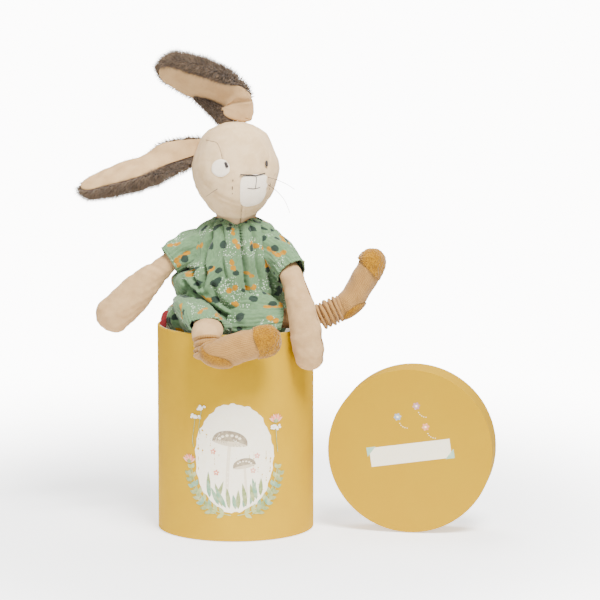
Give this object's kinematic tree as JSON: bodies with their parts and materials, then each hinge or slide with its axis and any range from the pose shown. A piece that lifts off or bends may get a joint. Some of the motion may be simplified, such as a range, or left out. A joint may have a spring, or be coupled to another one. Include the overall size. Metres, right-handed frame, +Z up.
{
  "type": "soft rabbit doll in a round gift box",
  "caption": "Soft long-eared rabbit doll in a gauze romper sitting in the mouth of a round card gift box, with its lift-off lid stood beside it.",
  "frame": {"origin": "centre of the box's underside, on the floor", "axes": "+Z up, the front of the box and the doll's face towards -Y, +X to the right seen from the front"},
  "size_m": [0.3976, 0.1916, 0.4519],
  "materials": {
    "card": "grey-brown wound card",
    "printed_paper": "mustard yellow paper with a fine linen grain",
    "plain_paper": "plain cream paper",
    "velour": "short beige velour",
    "gauze": null,
    "button": "matt cream",
    "ribbon": "plain red woven ribbon",
    "cream_felt": "cream felted patch",
    "dark_thread": "embroidery thread",
    "fur": "brown faux fur",
    "sock_knit": "tan fine knit",
    "terry": "mustard terry knit"
  },
  "bodies": {
    "box": {"box_tube": "card", "box_wrap": "printed_paper", "box_lining": "plain_paper", "box_base": "card"},
    "lid": {"lid_band": "card", "lid_disc": "card", "lid_wrap": "printed_paper", "lid_lining": "plain_paper"},
    "trunk": {"torso": "velour", "romper_bodice": "gauze", "neck_binding": "gauze", "back_placket": "gauze", "placket_buttons": "button", "side_ribbon": "ribbon"},
    "head": {"head": "velour", "muzzle_patch": "cream_felt", "cheek_patch": "cream_felt", "eyes": "dark_thread", "nose_stitching": "dark_thread"},
    "ear_right": {"ear_velour_right": "velour", "ear_fur_right": "fur"},
    "ear_left": {"ear_velour_left": "velour", "ear_fur_left": "fur"},
    "arm_right": {"arm_right": "velour", "sleeve_right": "gauze"},
    "arm_left": {"arm_left": "velour", "sleeve_left": "gauze"},
    "leg_right": {"leg_right": "velour", "bloomer_right": "gauze", "sock_cuff_right": "sock_knit", "sock_foot_right": "sock_knit", "sock_heel_right": "terry", "sock_toe_right": "terry"},
    "leg_left": {"leg_left": "velour", "bloomer_left": "gauze", "sock_cuff_left": "sock_knit", "sock_foot_left": "sock_knit", "sock_heel_left": "terry", "sock_toe_left": "terry"}
  },
  "joints": [
    {"name": "lid_lift", "type": "slide", "parent": "box", "child": "lid", "axis": [0.5, 0, 0.866], "range_m": [0, 0.2]},
    {"name": "doll_lift", "type": "slide", "parent": "box", "child": "trunk", "axis": [0, 0, 1], "range_m": [0, 0.24]},
    {"name": "neck_turn", "type": "hinge", "parent": "trunk", "child": "head", "pos_m": [0.001, 0, 0.291], "axis": [0, 0, 1], "range_deg": [-20, 20]},
    {"name": "ear_right_flop", "type": "hinge", "parent": "head", "child": "ear_right", "pos_m": [-0.0446, -0.00484, 0.3629], "axis": [0.2797, 0.0499, 0.9588], "range_deg": [-24, 25]},
    {"name": "ear_left_flop", "type": "hinge", "parent": "head", "child": "ear_left", "pos_m": [0.00309, -0.00673, 0.39688], "axis": [1, 0, 0], "range_deg": [-20, 20]},
    {"name": "arm_right_swing", "type": "hinge", "parent": "trunk", "child": "arm_right", "pos_m": [-0.0459, -0.008, 0.27], "axis": [0, 1, 0], "range_deg": [-8, 50]},
    {"name": "arm_left_swing", "type": "hinge", "parent": "trunk", "child": "arm_left", "pos_m": [0.0402, -0.016, 0.268], "axis": [0, -1, 0], "range_deg": [0, 75]},
    {"name": "leg_right_lift", "type": "hinge", "parent": "trunk", "child": "leg_right", "pos_m": [-0.026, -0.0435, 0.206], "axis": [-1, 0, 0], "range_deg": [0, 30]},
    {"name": "leg_left_lift", "type": "hinge", "parent": "trunk", "child": "leg_left", "pos_m": [0.024, -0.0435, 0.206], "axis": [0.3697, -0.9292, 0], "range_deg": [0, 12]}
  ]
}
